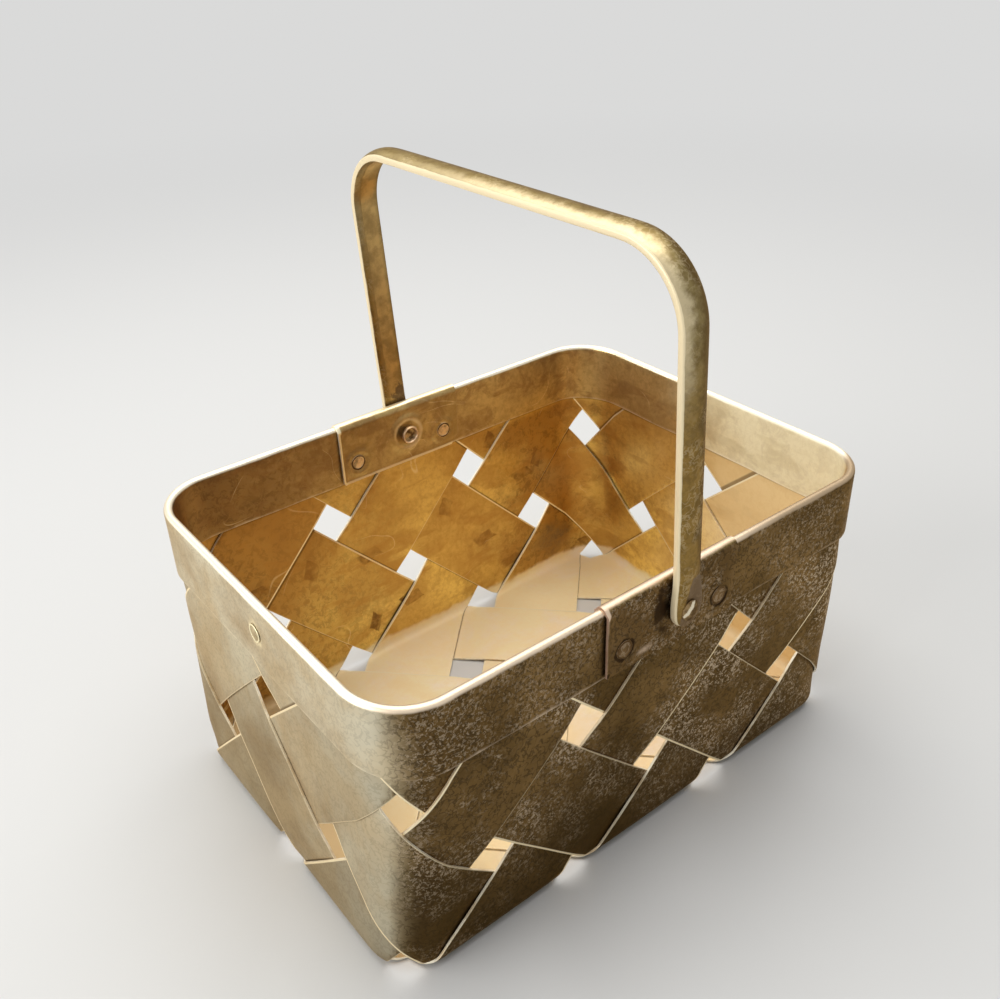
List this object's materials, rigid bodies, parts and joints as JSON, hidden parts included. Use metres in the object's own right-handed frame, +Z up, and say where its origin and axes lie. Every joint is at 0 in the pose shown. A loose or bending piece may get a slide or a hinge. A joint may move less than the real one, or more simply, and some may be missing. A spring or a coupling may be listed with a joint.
{
  "type": "woven brass basket with swing handle",
  "caption": "Rectangular basket woven on the diagonal from flat brass strips, with a folded rim band, riveted saddle plates and a swinging bail handle.",
  "frame": {"origin": "centre of the base on the surface that the basket stands on", "axes": "+X along the basket's long side, +Y across it towards the back long wall, +Z up"},
  "size_m": [0.2236, 0.1764, 0.2288],
  "materials": {
    "strip_brass": "aged satin brass sheet, tarnished dark outside and warm gold inside",
    "band_brass": "aged satin brass with grey-green tarnish",
    "plate_brass": "aged satin brass with brown tarnish",
    "rivet_brass": "flush rivet, aged brass with a dark ring",
    "pivot_brass": "domed rivet, worn bright",
    "bail_brass": "bright worn brass bar with olive tarnish"
  },
  "bodies": {
    "basket": {"strip_rising_1": "strip_brass", "strip_rising_2": "strip_brass", "strip_rising_3": "strip_brass", "strip_rising_4": "strip_brass", "strip_rising_5": "strip_brass", "strip_falling_1": "strip_brass", "strip_falling_2": "strip_brass", "strip_falling_3": "strip_brass", "strip_falling_4": "strip_brass", "strip_falling_5": "strip_brass", "rim_band": "band_brass", "saddle_plate_front": "plate_brass", "saddle_plate_back": "plate_brass", "plate_rivet_front_left": "rivet_brass", "plate_rivet_front_right": "rivet_brass", "plate_rivet_back_left": "rivet_brass", "plate_rivet_back_right": "rivet_brass", "band_rivet_left_end": "rivet_brass", "pivot_rivet_front": "pivot_brass", "pivot_rivet_back": "pivot_brass"},
    "handle": {"bail": "bail_brass"}
  },
  "joints": [
    {"name": "bail_hinge", "type": "hinge", "parent": "basket", "child": "handle", "pos_m": [0.0035, 0, 0.106], "axis": [0, 1, 0], "range_deg": [-99, 116]}
  ]
}
